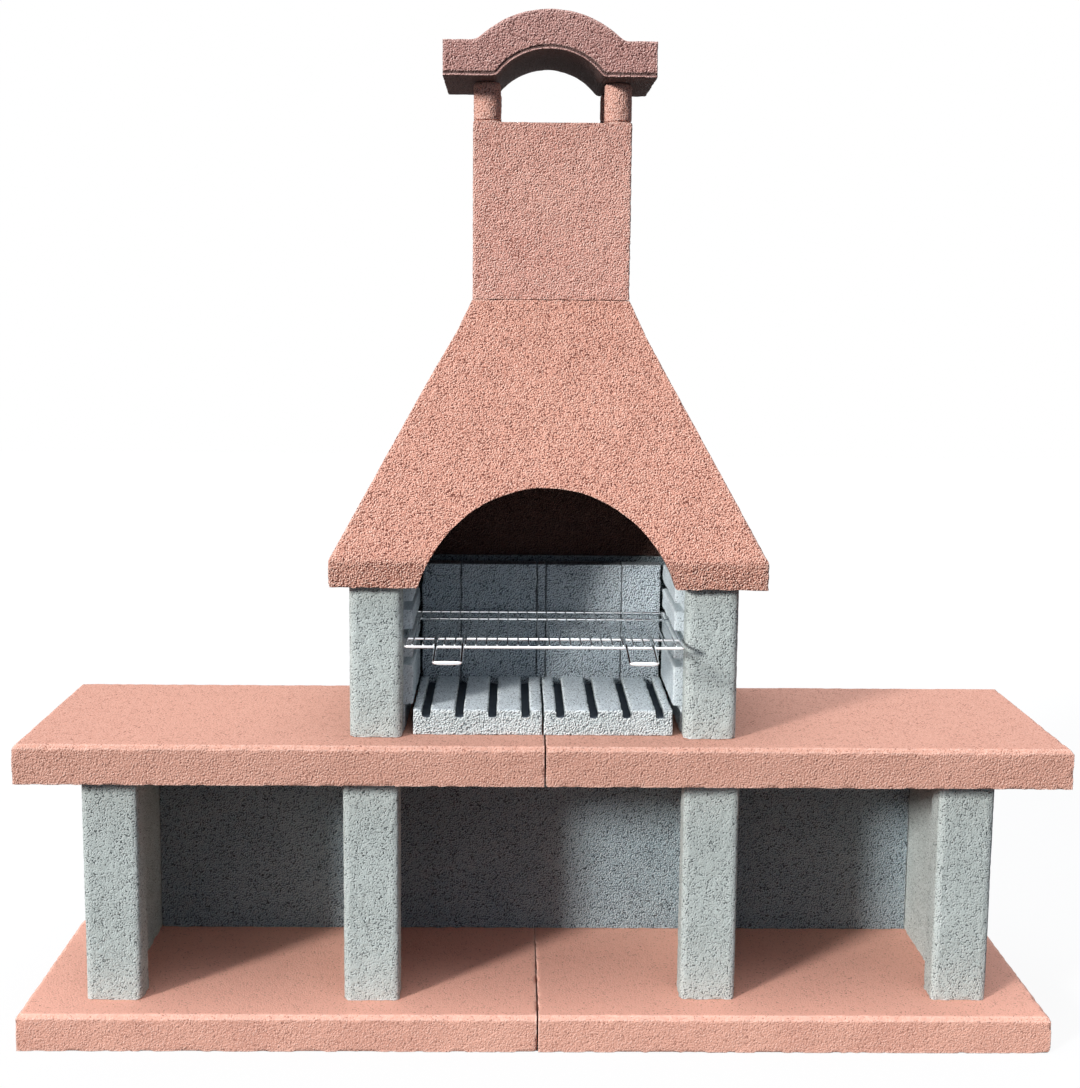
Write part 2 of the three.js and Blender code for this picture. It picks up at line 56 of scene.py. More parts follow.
# The photograph's viewpoint, in millimetres and degrees
EYE = (-68.0, -3606.65, 1571.1)
PITCH_DOWN = 8.11
YAW_RIGHT = 0.98
ROLL = 0.56
FOCAL_PIXELS = 1681.2
PICTURE_LONG_SIDE = 1088
SENSOR = 36.0


def place_camera():
    """Puts the camera at the eye, turned by the yaw, tipped down by the pitch and rolled."""
    pitch, yaw, roll = (math.radians(v) for v in (PITCH_DOWN, YAW_RIGHT, ROLL))
    ahead = np.array([
        math.sin(yaw) * math.cos(pitch),
        math.cos(yaw) * math.cos(pitch),
        -math.sin(pitch),
    ])
    level = np.array([math.cos(yaw), -math.sin(yaw), 0.0])
    upright = np.cross(level, ahead)
    right = math.cos(roll) * level + math.sin(roll) * upright
    up = -math.sin(roll) * level + math.cos(roll) * upright
    data = bpy.data.cameras.new("photo_camera")
    data.sensor_width = SENSOR
    data.lens = FOCAL_PIXELS / PICTURE_LONG_SIDE * SENSOR
    data.clip_start = 0.05
    data.clip_end = 100
    camera = bpy.data.objects.new("photo_camera", data)
    turn = Matrix([[right[i], up[i], -ahead[i]] for i in range(3)]).to_4x4()
    turn.translation = [v * MM for v in EYE]
    camera.matrix_world = turn
    bpy.context.scene.collection.objects.link(camera)
    bpy.context.scene.camera = camera


place_camera()


# Surfaces

def lines(stops, steps):
    """Coordinates from stop to stop, each stretch cut evenly into pieces near its step."""
    parts = []
    for start, end, step in zip(stops, stops[1:], steps):
        count = max(1, round(abs(end - start) / step))
        parts.append(np.linspace(start, end, count + 1)[:-1])
    return np.concatenate([*parts, [stops[-1]]])


def edged(start, end, step, fine=2.0):
    """Coordinates from start to end, two short spans at each end and the rest near the step."""
    return lines([start, start + 2 * fine, end - 2 * fine, end], [fine, step, fine])


def grid_quads(rows, columns, close_rows=False, close_columns=False):
    """Quads over a grid of points numbered row by row, closed on itself where asked."""
    index = np.arange(rows * columns).reshape(rows, columns)
    if close_rows:
        index = np.vstack([index, index[:1]])
    if close_columns:
        index = np.hstack([index, index[:, :1]])
    corners = [index[:-1, :-1], index[1:, :-1], index[1:, 1:], index[:-1, 1:]]
    return np.stack(corners, -1).reshape(-1, 4)


def block_skin(xs, ys, zs):
    """The skin of a block: six flat grids with a line at every coordinate of xs, ys and zs."""
    points, quads, count = [], [], 0
    lists = (xs, ys, zs)
    for axis, (first, second) in enumerate(((1, 2), (0, 2), (0, 1))):
        across, along = np.meshgrid(lists[first], lists[second], indexing="ij")
        faces = grid_quads(*across.shape)
        for end in (0, -1):
            sheet = np.empty((across.size, 3))
            sheet[:, axis] = lists[axis][end]
            sheet[:, first] = across.ravel()
            sheet[:, second] = along.ravel()
            outward = (end == -1) == (axis != 1)
            turned = faces if outward else faces[:, ::-1]
            points.append(sheet)
            quads.append(turned + count)
            count += len(sheet)
    return np.concatenate(points), np.concatenate(quads)


def walled_skin(across_out, across_in, deep, foot, crown, outer, inner, climb, descent, rim):
    """The closed skin of a hollow casting. Each upright line has a place in plan, across from -1
    to 1 and deep from 0 to 1. It runs from its foot up the outer wall to the crown by the climb's
    steps, over the rim, down the inner wall by the descent's steps and back under. outer and
    inner give (aside, half width, front, rear) at a height."""
    level = np.concatenate([climb, np.ones(len(rim)), descent, np.zeros(len(rim))])
    inward = np.concatenate([np.zeros(len(climb)), rim, np.ones(len(descent)), rim[::-1]])
    height = foot[:, None] + level[None, :] * (crown - foot[:, None])

    def on(wall, across):
        """The points on a wall: x = aside + across * half, y = front + deep * (rear - front)."""
        aside, half, front, rear = wall(height)
        x = aside + across[:, None] * half
        y = front + deep[:, None] * (rear - front)
        return np.stack(np.broadcast_arrays(x, y, height), -1)

    share = inward[None, :, None]
    points = (1 - share) * on(outer, across_out) + share * on(inner, across_in)
    quads = grid_quads(len(foot), len(level), close_rows=True, close_columns=True)
    return points.reshape(-1, 3), quads


def plan_round(front_out, front_in, side_steps, rear_steps):
    """The places in plan for walled_skin, once round: along the front as given, then evenly along
    the right side, the rear and the left side."""
    side = np.linspace(0, 1, side_steps)[1:-1]
    rest = [np.ones(len(side)), np.linspace(1, -1, rear_steps), -np.ones(len(side))]
    deep = np.concatenate([np.zeros(len(front_out)), side, np.ones(rear_steps), side[::-1]])
    return np.concatenate([front_out, *rest]), np.concatenate([front_in, *rest]), deep


def turned_skin(centre, radii, heights, sides):
    """A surface of revolution about an upright axis: a ring at each height, closed where the
    radius is 0."""
    angle = np.arange(sides) * 2 * math.pi / sides
    x = centre[0] + np.cos(angle)[:, None] * radii[None, :]
    y = centre[1] + np.sin(angle)[:, None] * radii[None, :]
    z = np.broadcast_to(heights, x.shape)
    quads = grid_quads(sides, len(radii), close_rows=True)
    return np.stack([x, y, z], -1).reshape(-1, 3), quads


def rod_skin(path, radii, sides, closed=False):
    """A round rod: a ring of the path's radius square to the path at each of its points. The ring
    lies in the plane of the level line across the path and the line square to both."""
    before, after = np.roll(path, 1, 0), np.roll(path, -1, 0)
    if not closed:
        before[0], after[-1] = path[0], path[-1]
    along = after - before
    along /= np.linalg.norm(along, axis=1)[:, None]
    across = np.cross([0.0, 0.0, 1.0], along)
    across /= np.linalg.norm(across, axis=1)[:, None]
    upward = np.cross(along, across)
    angle = (np.arange(sides) * 2 * math.pi / sides)[None, :, None]
    ring = np.cos(angle) * across[:, None] + np.sin(angle) * upward[:, None]
    points = path[:, None] + radii[:, None, None] * ring
    quads = grid_quads(len(path), sides, close_rows=closed, close_columns=True)
    return points.reshape(-1, 3), quads


def together(skins):
    """Several skins as one list of points and one of quads."""
    starts = np.cumsum([0] + [len(points) for points, _ in skins[:-1]])
    points = np.concatenate([points for points, _ in skins])
    return points, np.concatenate([quads + start for (_, quads), start in zip(skins, starts)])


def joined(points, quads):
    """Points that lie within a hundredth of a millimetre become one."""
    key = np.round(points * 100).astype(np.int64)
    _, first, number = np.unique(key, axis=0, return_index=True, return_inverse=True)
    return points[first], number.reshape(-1)[quads]


def links_of(quads):
    """Each edge once, as two point numbers."""
    ends = np.concatenate([quads[:, [k, (k + 1) % 4]] for k in range(4)])
    ends = np.sort(ends[ends[:, 0] != ends[:, 1]], axis=1)
    return np.unique(ends, axis=0)


def eased(values, links):
    """The values at the points, each moved half way to the mean of its neighbours' values. On
    places it rounds edges."""
    a, b = links.T
    size = len(values)
    count = np.bincount(a, minlength=size) + np.bincount(b, minlength=size)
    mean = np.stack([
        np.bincount(a, column[b], size) + np.bincount(b, column[a], size) for column in values.T
    ], -1) / count[:, None]
    return (values + mean) / 2


def normals_of(points, quads):
    """The mean direction of the faces round each point, from cross products of diagonals, and how
    sharp the edge there is: 1 less the length of the mean of the unit face directions."""
    a, b, c, d = (points[quads[:, corner]] for corner in range(4))
    face = np.cross(c - a, d - b)
    face /= np.maximum(np.linalg.norm(face, axis=1), 1e-9)[:, None]
    count = sum(np.bincount(quads[:, corner], minlength=len(points)) for corner in range(4))
    total = np.stack([
        sum(np.bincount(quads[:, corner], face[:, k], len(points)) for corner in range(4))
        for k in range(3)
    ], -1)
    length = np.linalg.norm(total, axis=1)
    return total / np.maximum(length, 1e-9)[:, None], 1 - length / count


def scatter(cells, seed):
    """A number from 0 to 1 for each whole-number cell, by multiplying with large odd numbers and
    folding the bits."""
    mixed = (cells * np.array([374761393, 668265263, 2147483629])).sum(-1) + seed * 974711
    mixed = (mixed ^ (mixed >> 13)) * 1274126177 & 0xFFFFFFFF
    mixed = (mixed ^ (mixed >> 16)) * 2246822519 & 0xFFFFFFFF
    return ((mixed >> 8) & 0xFFFF) / 65535.0


def lumps(points, size, seed):
    """Smooth lumps from 0 to 1: scattered numbers on a cubic lattice of the size, blended between
    the eight corners round each point with the smooth step 3t2 - 2t3."""
    spot = points / size
    cell = np.floor(spot).astype(np.int64)
    t = spot - cell
    t = t * t * (3 - 2 * t)
    total = np.zeros(len(points))
    for corner in np.ndindex(2, 2, 2):
        weight = np.prod(np.where(corner, t, 1 - t), axis=1)
        total += weight * scatter(cell + corner, seed)
    return total


# Colours and materials

def linear(code):
    """An sRGB colour, such as "c98a74", as linear red, green, blue and alpha."""
    shares = [int(code[i:i + 2], 16) / 255 for i in (0, 2, 4)]
    return [((v + 0.055) / 1.055) ** 2.4 if v > 0.04045 else v / 12.92 for v in shares] + [1.0]


def add_node(material, kind, inputs=None, **settings):
    """Adds a node with its settings. inputs maps a socket's name or number to a value, to an
    output that is linked to it, or to a node whose first output is linked to it."""
    tree = material.node_tree
    node = tree.nodes.new(kind)
    for name, value in settings.items():
        setattr(node, name, value)
    for key, value in (inputs or {}).items():
        if isinstance(value, bpy.types.Node):
            value = value.outputs[0]
        if isinstance(value, bpy.types.NodeSocket):
            tree.links.new(value, node.inputs[key])
        else:
            node.inputs[key].default_value = value
    return node


def new_material(name):
    """A material with an empty node tree."""
    material = bpy.data.materials.new(name)
    material.use_nodes = True
    material.node_tree.nodes.clear()
    return material


# The sizes of the concrete's patterns besides the crushed stone. Drifts of tone and the patches
# of a worn edge are in millimetres, the others in grains: tracts where the stones stand higher or
# lower, the sand between the stones, and the step to the upper left, towards the light, over
# which each grain gets a painted highlight and a painted shade. Real sand is under 1 mm and too
# fine to show, so it is drawn nearly as coarse as the stones.
DRIFT = 160
EDGE_PATCH = 9
TRACT = 7
SAND = 0.9
PAINTED_RELIEF_STEP = 0.3

# The sand's height over its noise, and the share of all relief left on faces that lie level
SAND_HEIGHT = 0.7
LEVEL_CALM = 0.3


def cast_concrete(name, tones, painted_top_tone, pit, pale, worn, soot, grain, gaps_below, open_face,
                  stones, pressed, painted_relief, bump, seed):
    """Cast concrete with an open face: crushed stone in a coloured binder, with gaps between the
    grains, so it looks dull, coarse and speckled.

    The grains are Voronoi cells with rounded tops, broken up by sand. Heights under gaps_below
    take the dark pit tone, as far as open_face goes, and high places the pale tone of bare stone,
    as far as stones goes. The mould has pressed the face level above the height pressed. Each
    grain's upper left side, towards the light, is painted pale as a highlight and its lee dark as
    a painted shade, as far as the painted relief goes. Faces that lie level are calmer and take a
    tone of their own, painted light and shade for how light falls on tops, edges are worn paler,
    and painted shade lies over all as a dark film where the shade attribute asks. grain and bump
    are in millimetres."""
    material = new_material(name)
    place = add_node(material, "ShaderNodeTexCoord").outputs["Object"]
    place = add_node(material, "ShaderNodeMapping", {0: place, 1: (seed * 0.37, seed * 0.19, 0)})
    wear, level, sooted = (
        add_node(material, "ShaderNodeAttribute", attribute_name=title).outputs["Fac"]
        for title in ("wear", "level", "soot"))
    drift, tract, patch = (
        add_node(material, "ShaderNodeTexNoise", {
            "Vector": place, "Scale": 1000 / size, "Detail": detail, "Roughness": 0.55,
        }) for size, detail in ((DRIFT, 4), (grain * TRACT, 1), (EDGE_PATCH, 3)))
    tract = add_node(material, "ShaderNodeMapRange", {0: tract, 1: 0.3, 2: 0.7, 3: -0.03, 4: 0.03})

    # The height of the grains here and a step to the upper left, towards the light, for the painted
    # highlight and shade
    step = PAINTED_RELIEF_STEP * grain * MM
    aside = add_node(material, "ShaderNodeVectorMath", {0: place, 1: (-step, 0, step)},
                     operation="ADD")
    heights, faces = [], []
    for spot in (place, aside):
        cells = add_node(material, "ShaderNodeTexVoronoi", {"Vector": spot, "Scale": 1000 / grain})
        sand = add_node(material, "ShaderNodeTexNoise", {
            "Vector": spot, "Scale": 1000 / (grain * SAND), "Detail": 2, "Roughness": 0.6,
        })
        dome = add_node(material, "ShaderNodeMapRange", {0: cells, 1: 0.1, 2: 0.75, 3: 0.3, 4: 0})
        dome = add_node(material, "ShaderNodeMath", {0: dome, 1: tract}, operation="ADD")
        sand = add_node(material, "ShaderNodeMath", {0: sand, 1: SAND_HEIGHT}, operation="MULTIPLY")
        heights.append(add_node(material, "ShaderNodeMath", {0: dome, 1: sand}, operation="ADD"))
        faces.append(add_node(material, "ShaderNodeMapRange", {
            0: heights[-1], 1: gaps_below - 0.15, 2: pressed,
        }))
    calm = add_node(material, "ShaderNodeMapRange", {0: level, 1: 0, 2: 1, 3: 1, 4: LEVEL_CALM})
    lee = add_node(material, "ShaderNodeMath", {0: faces[0], 1: faces[1]}, operation="SUBTRACT")
    lee = add_node(material, "ShaderNodeMath", {0: lee, 1: calm}, operation="MULTIPLY")

    # How far each layer covers those under it: from and to which value, and its share there
    most = min(painted_relief, 1)
    # The fourth and fifth layers are the painted highlight and the painted shade on the grains'
    # sides towards and away from the light.
    drift, patch, bare, painted_highlight, painted_lee_shade, gaps = (
        add_node(material, "ShaderNodeMapRange", {0: value, 1: low, 2: high, 3: start, 4: end})
        for value, low, high, start, end in (
            (drift, 0.35, 0.65, 0, 1),
            (patch, 0.35, 0.65, 0.1, 0.9),
            (heights[0], 0.58, 0.72, 0, stones),
            (lee, 0, 0.5, 0, most),
            (lee, -0.4 / painted_relief, 0, most, 0),
            (heights[0], gaps_below - 0.07, gaps_below + 0.03, open_face, 0),
        ))
    edge = add_node(material, "ShaderNodeMath", {0: wear, 1: patch}, operation="MULTIPLY")
    tone = linear(tones[0])
    # The layers: drifts, the painted top tone, worn edges, bare stone, the painted highlight and
    # painted shade on each grain, pits, and the painted shade film.
    for share, layer in (
            (drift, tones[1]), (level, painted_top_tone), (edge, worn), (bare, pale),
            (painted_highlight, pale), (painted_lee_shade, pit), (gaps, pit), (sooted, soot)):
        tone = add_node(material, "ShaderNodeMix", {0: share, 6: tone, 7: linear(layer)},
                        data_type="RGBA").outputs[2]

    depth = add_node(material, "ShaderNodeMath", {0: calm, 1: bump * MM}, operation="MULTIPLY")
    relief = add_node(material, "ShaderNodeBump", {
        "Strength": 1.0, "Distance": depth, "Height": faces[0],
    })
    surface = add_node(material, "ShaderNodeBsdfPrincipled", {
        "Base Color": tone, "Roughness": 0.92, "IOR": 1.5, "Specular IOR Level": 0.25,
        "Normal": relief,
    })
    add_node(material, "ShaderNodeOutputMaterial", {0: surface})
    return material


# Patches of dullness on the chrome per metre, so each is about 8 mm across
DULL_PATCHES = 120


def bright_chrome(name):
    """Drawn steel wire with bright chrome plating: a mirror that use has dulled a little, in
    patches."""
    material = new_material(name)
    place = add_node(material, "ShaderNodeTexCoord").outputs["Object"]
    dulled = add_node(material, "ShaderNodeTexNoise", {
        "Vector": place, "Scale": DULL_PATCHES, "Detail": 3,
    })
    roughness = add_node(material, "ShaderNodeMapRange", {
        0: dulled, 1: 0.3, 2: 0.7, 3: 0.07, 4: 0.18,
    })
    surface = add_node(material, "ShaderNodeBsdfPrincipled", {
        "Base Color": linear("eef0f2"), "Metallic": 1.0, "Roughness": roughness,
    })
    add_node(material, "ShaderNodeOutputMaterial", {0: surface})
    return material


# Each concrete takes a tone of its own on faces that lie level: painted light, paler on most tops,
# and painted shade, darker on the tops of the fireback, the flue and the columns.
# The hood: concrete coloured with iron oxide, its face washed before it set. The stones stand
# bare, so it is rough and strongly speckled, with dark gaps and pale grains.
ROSE_WASHED = cast_concrete(
    "washed_rose_concrete", tones=("d08f79", "db9c85"), painted_top_tone="dca08c",
    pit="5e2a1f", pale="fbdccb", worn="f0c6b4", soot="2a1c19",
    grain=3.7, gaps_below=0.38, open_face=0.9, stones=0.4, pressed=0.8, painted_relief=1.35,
    bump=3.2, seed=1)

# The flue: the same concrete with a little less painted relief, so it looks evener. Its tones are
# paler and pinker, painted light that brings its upright front up to the hood's sloping face.
ROSE_FLUE = cast_concrete(
    "washed_rose_flue_concrete", tones=("e4a391", "edb09d"), painted_top_tone="dca08c",
    pit="743c2e", pale="fbe0d2", worn="f0c6b4", soot="2a1c19",
    grain=3.6, gaps_below=0.38, open_face=0.85, stones=0.4, pressed=0.8, painted_relief=0.9,
    bump=2.6, seed=10)

# The columns: small castings with a closer face, in the palest tones, painted light that makes up
# for the shade of the cap over them.
ROSE_COLUMN = cast_concrete(
    "washed_rose_column_concrete", tones=("eaac97", "f4baa5"), painted_top_tone="dca08c",
    pit="6b352a", pale="fbe2d6", worn="f6d0c0", soot="2a1c19",
    grain=3.6, gaps_below=0.36, open_face=0.75, stones=0.4, pressed=0.8, painted_relief=0.8,
    bump=2.4, seed=11)

# The cap: a browner, mauve mix, with painted shade that makes it nearly black underneath.
MAUVE_WASHED = cast_concrete(
    "washed_mauve_concrete", tones=("b88379", "c39085"), painted_top_tone="b88c82",
    pit="4a2522", pale="ecccc2", worn="dcb4aa", soot="100908",
    grain=3.7, gaps_below=0.38, open_face=0.85, stones=0.35, pressed=0.8, painted_relief=0.9,
    bump=2.6, seed=2)

# The worktop: trowelled flat on top, so the top is smooth and even and only the edges are open.
# Its top is painted a little paler, as light from above.
ROSE_WORKTOP = cast_concrete(
    "trowelled_rose_concrete", tones=("cb9480", "d49d89"), painted_top_tone="d79f8b",
    pit="6a3a2a", pale="f2d0c0", worn="ecc8b8", soot="3a2620",
    grain=4.0, gaps_below=0.33, open_face=0.75, stones=0.3, pressed=0.75, painted_relief=0.6,
    bump=1.9, seed=3)

# The base slabs: trowelled like the worktop. Their faces are closed and pale, with few gaps.
# Their tops are painted much paler, as light from above.
ROSE_BASE = cast_concrete(
    "trowelled_rose_base_concrete", tones=("dba08b", "e4aa94"), painted_top_tone="f3b49e",
    pit="7c4a3c", pale="f6d8ca", worn="f4d2c3", soot="3a2620",
    grain=4.0, gaps_below=0.32, open_face=0.65, stones=0.25, pressed=0.72, painted_relief=0.4,
    bump=1.5, seed=4)

# The posts: grey concrete pressed level by a steel mould. The face is flat, with small dark pores.
GREY_POST = cast_concrete(
    "pressed_grey_concrete", tones=("b0b8b3", "bcc4bf"), painted_top_tone="b4bab7",
    pit="3a4140", pale="f2f6f4", worn="dce0de", soot="30343a",
    grain=3.5, gaps_below=0.345, open_face=0.9, stones=0.15, pressed=0.46, painted_relief=0.45,
    bump=1.4, seed=5)

# The panels between the posts: a thinner, drier mix with more pores, darker and bluer than the
# posts as painted shade for where they stand under the worktop and the hood.
GREY_PANEL = cast_concrete(
    "pressed_grey_panel_concrete", tones=("83959b", "93a3a7"), painted_top_tone="a0a5a4",
    pit="20262b", pale="d8dee0", worn="b8bdbb", soot="30343a",
    grain=3.5, gaps_below=0.39, open_face=0.9, stones=0.3, pressed=0.62, painted_relief=0.6,
    bump=1.8, seed=6)

# The fireback: refractory concrete with light crushed firebrick, shaken down in a mould. It is
# nearly white, with a blue tinge, and speckled by dark pores.
# Its top edge is painted darker, as shade under the hood.
FIREBRICK = cast_concrete(
    "refractory_panel_concrete", tones=("bccad1", "d0dade"), painted_top_tone="9aa2a6",
    pit="222930", pale="f6fafc", worn="c8cfd2", soot="30343a",
    grain=3.2, gaps_below=0.40, open_face=0.9, stones=0.5, pressed=0.7, painted_relief=0.9,
    bump=2.2, seed=7)

# The hearth slabs: the same with coarser grain, its top painted pale as light from above and its
# slots painted dark as shade.
HEARTH_PALE = cast_concrete(
    "refractory_hearth_concrete", tones=("bac9c8", "cedada"), painted_top_tone="e4edf1",
    pit="4c565a", pale="f8fcfa", worn="f4f9f7", soot="3c444d",
    grain=3.8, gaps_below=0.37, open_face=0.8, stones=0.5, pressed=0.78, painted_relief=1.0,
    bump=2.8, seed=8)

# The grill holders: the same with a closer face, so the grooves' edges stay crisp and pale.
HOLDER_PALE = cast_concrete(
    "refractory_holder_concrete", tones=("c0cacd", "d0d9dc"), painted_top_tone="c6d0d3",
    pit="4c5458", pale="eef3f3", worn="e6ecec", soot="2e343b",
    grain=3.5, gaps_below=0.34, open_face=0.7, stones=0.3, pressed=0.65, painted_relief=0.4,
    bump=1.4, seed=9)

CHROME = bright_chrome("chromed_steel_wire")


# Pieces

def new_piece(name, points, quads, material, nodes, slot, body, **attributes):
    """A piece from points in millimetres and quads. A quad with two corners at one point becomes
    a triangle. It stands for the CAD nodes and rides on the body."""
    doubled = quads == np.roll(quads, -1, axis=1)
    bad = doubled.any(axis=1)
    at = doubled[bad].argmax(axis=1)
    turned = np.take_along_axis(quads[bad], (at[:, None] + np.arange(1, 4)) % 4, axis=1)
    whole = (turned != np.roll(turned, -1, axis=1)).all(axis=1)
    faces = quads[~bad].tolist() + turned[whole].tolist()
    mesh = bpy.data.meshes.new(name)
    mesh.from_pydata((points * MM).tolist(), [], faces)
    mesh.polygons.foreach_set("use_smooth", np.ones(len(mesh.polygons), bool))
    for title, values in attributes.items():
        layer = mesh.attributes.new(title, "FLOAT", "POINT")
        layer.data.foreach_set("value", values.astype(np.float32))
    mesh.materials.append(material)
    piece = bpy.data.objects.new(name, mesh)
    bpy.context.scene.collection.objects.link(piece)
    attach(piece, body)
    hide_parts(*nodes)


# The sizes of the unevenness of a casting's faces and edges, in millimetres
WAVE = 70
PIT = 8
FINE_PIT = 4.5
CHIPPED_PATCH = 15


def casting(node, skin, material, slot, seed, wander=0.8, grit=1.5, chip=5.0, ends=0.0,
            sooty=None):
    """A rough casting in place of its node. Edges are eased, then the skin goes in by wide soft
    waves as deep as wander, by pits as deep as grit where a finer noise is low and, along the
    edges, by chips. Level faces, on which the pieces stand, keep flatter, and so do their ends by
    the share ends. wear holds how near an edge a point is, level how far up it faces, and the
    last attribute how much painted shade lies on a point, as the given function reads it off the
    points and their directions."""
    points, quads = joined(*skin)
    links = links_of(quads)
    _, sharp = normals_of(points, quads)
    wear = np.clip(sharp[:, None] * 4, 0, 1)
    for _ in range(2):
        wear = np.clip(eased(wear, links) * 1.9, 0, 1)
    wear = wear[:, 0]
    smooth = eased(points, links)
    normals, _ = normals_of(smooth, quads)
    # Pits and chips grow from 0 to 1 over a part of their noise's range.
    pits = np.clip((0.52 - lumps(smooth, PIT, seed + 20)) / 0.3, 0, 1)
    fine = np.clip((0.5 - lumps(smooth, FINE_PIT, seed + 60)) / 0.3, 0, 1)
    chipped = np.clip((lumps(smooth, CHIPPED_PATCH, seed + 40) - 0.45) / 0.4, 0, 1) * wear
    depth = wander * lumps(smooth, WAVE, seed) + grit * pits + 0.4 * grit * fine
    depth = depth * (1 - 0.8 * np.abs(normals[:, 2])) * (1 - ends * np.abs(normals[:, 0]))
    depth += chip * chipped
    rough = smooth - normals * depth[:, None]
    # Painted shade: the share of a dark tone laid where shade falls.
    soot = sooty(points, normals) if sooty else np.zeros(len(points))
    new_piece(node + "_casting", rough, quads, material, [node], slot, "masonry",
              wear=wear, level=np.clip(normals[:, 2], 0, 1), soot=soot)


def corners(node):
    """A node's lowest and highest corner in millimetres."""
    low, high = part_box(node)
    return np.array(low) / MM, np.array(high) / MM


def handed(skin, quads, start, end, side, mirrored_side):
    """Lays a skin whose x runs from 0 between start and end: from start on, or from end back on
    the mirrored side, where the quads turn round."""
    if side == mirrored_side:
        skin[:, 0] = end - skin[:, 0]
        return skin, quads[:, ::-1]
    skin[:, 0] = start + skin[:, 0]
    return skin, quads


SLAB_CHAMFER = 8
JOINT = 3
JOINT_LEAN = 1.15


def slab(node, side, material, seed):
    """A slab of a course: a block whose top is drawn in by the chamfer at its free edges. The
    joint in the middle is open in front and closes towards the rear, where it is shut from
    1 / 1.15 of the depth on."""
    low, high = corners(node)
    shoulder = high[2] - SLAB_CHAMFER
    skin, quads = block_skin(
        edged(low[0], high[0], step=6.5),
        edged(low[1], high[1], step=6.5),
        lines([low[2], low[2] + 4, shoulder - 4, shoulder, high[2]], [2, 5, 2, 2.7]),
    )
    drawn = np.clip(skin[:, 2] - shoulder, 0, None)
    share = (skin[:, :2] - low[:2]) / (high[:2] - low[:2])
    closing = JOINT / 2 * np.clip(share[:, 1] * JOINT_LEAN, 0, 1)
    left = low[0] + (drawn if side < 0 else -closing)
    right = high[0] - (drawn if side > 0 else -closing)
    skin[:, 0] = left + share[:, 0] * (right - left)
    skin[:, 1] = low[1] + drawn + share[:, 1] * (high[1] - low[1] - 2 * drawn)
    casting(node, (skin, quads), material, "rose_concrete", seed, wander=0.7, grit=0.8,
            chip=5.0, ends=0.9)


# The width over which a face steps in, in millimetres
STEP = 0.4


def side_panel(node, side, depth, corner, inset, wall, seed):
    """A post with round front corners and a thinner wall behind it: a block whose outer and inner
    faces are drawn in along its depth, by the quarter circles r - sqrt(r2 - (r - t)2) in front
    and by a step at the post's rear. depth is the post's, corner the radius r, inset how far the
    wall stands in from the post's outer side, and wall its thickness."""
    low, high = corners(node)
    width = high[0] - low[0]
    rear = depth - STEP
    skin, quads = block_skin(
        edged(0, 1, step=5.5 / width, fine=2 / width),
        lines([0, corner, rear, depth, high[1] - low[1]], [1.6, 5.5, STEP / 4, 7.0]),
        edged(low[2], high[2], step=5.5),
    )
    t = skin[:, 1]
    into = np.clip(corner - t, 0, None)
    rounded = corner - np.sqrt(np.clip(corner ** 2 - into ** 2, 0, None))
    back = np.clip((t - rear) / STEP, 0, 1)
    outer = rounded + inset * back
    inner = width - rounded - (width - inset - wall) * back
    skin[:, 0] = outer + skin[:, 0] * (inner - outer)
    skin[:, 1] += low[1]
    casting(node, handed(skin, quads, low[0], high[0], side, mirrored_side=1), GREY_POST,
            "grey_concrete", seed, wander=0.9, grit=1.5, chip=6.0, ends=0.6)


def panel(node, material, slot, seed, chip=2.0, ends=0.9):
    """A plain panel: a block with finer steps along its edges."""
    low, high = corners(node)
    skin = block_skin(*(edged(a, b, step=6.0) for a, b in zip(low, high)))
    casting(node, skin, material, slot, seed, chip=chip, ends=ends)


GROOVE_FLOORS = (808, 868, 928)
GROOVE_HEIGHT = 18
GROOVE_DEPTH = 24
FOOT_NOTCH_TOP = 723
FOOT_NOTCH_DEPTH = 17
HOLDER_EDGE = 3


def holder(node, side, seed):
    """A grill holder: a block whose inner face goes in at each groove and at the foot notch, by a
    depth read off between the stops along its height."""
    low, high = corners(node)
    half = STEP / 2
    steps = [(FOOT_NOTCH_TOP, FOOT_NOTCH_DEPTH, 0)]
    for floor in GROOVE_FLOORS:
        steps += [(floor, 0, GROOVE_DEPTH), (floor + GROOVE_HEIGHT, GROOVE_DEPTH, 0)]
    stops, depths, sizes = [low[2]], [FOOT_NOTCH_DEPTH], []
    for level, below, above in steps:
        stops += [level - half, level + half]
        depths += [below, above]
        sizes += [4.5, STEP / 5]
    stops += [high[2] - HOLDER_EDGE, high[2]]
    depths += [0, HOLDER_EDGE]
    sizes += [4.5, 1.5]
    width = high[0] - low[0]
    skin, quads = block_skin(
        lines([0, 1], [4.5 / width]),
        edged(low[1], high[1], step=5.0),
        lines(stops, sizes),
    )
    skin[:, 0] *= width - np.interp(skin[:, 2], stops, depths)
    casting(node, handed(skin, quads, low[0], high[0], side, mirrored_side=1), HOLDER_PALE,
            "refractory_concrete", seed, wander=0.5, grit=0.8, chip=2.5)


HEARTH_SLOTS = (35.5, 105.83, 176.17, 246.5)
SLOT_WIDTH = 17
SLOT_DEPTH = 15


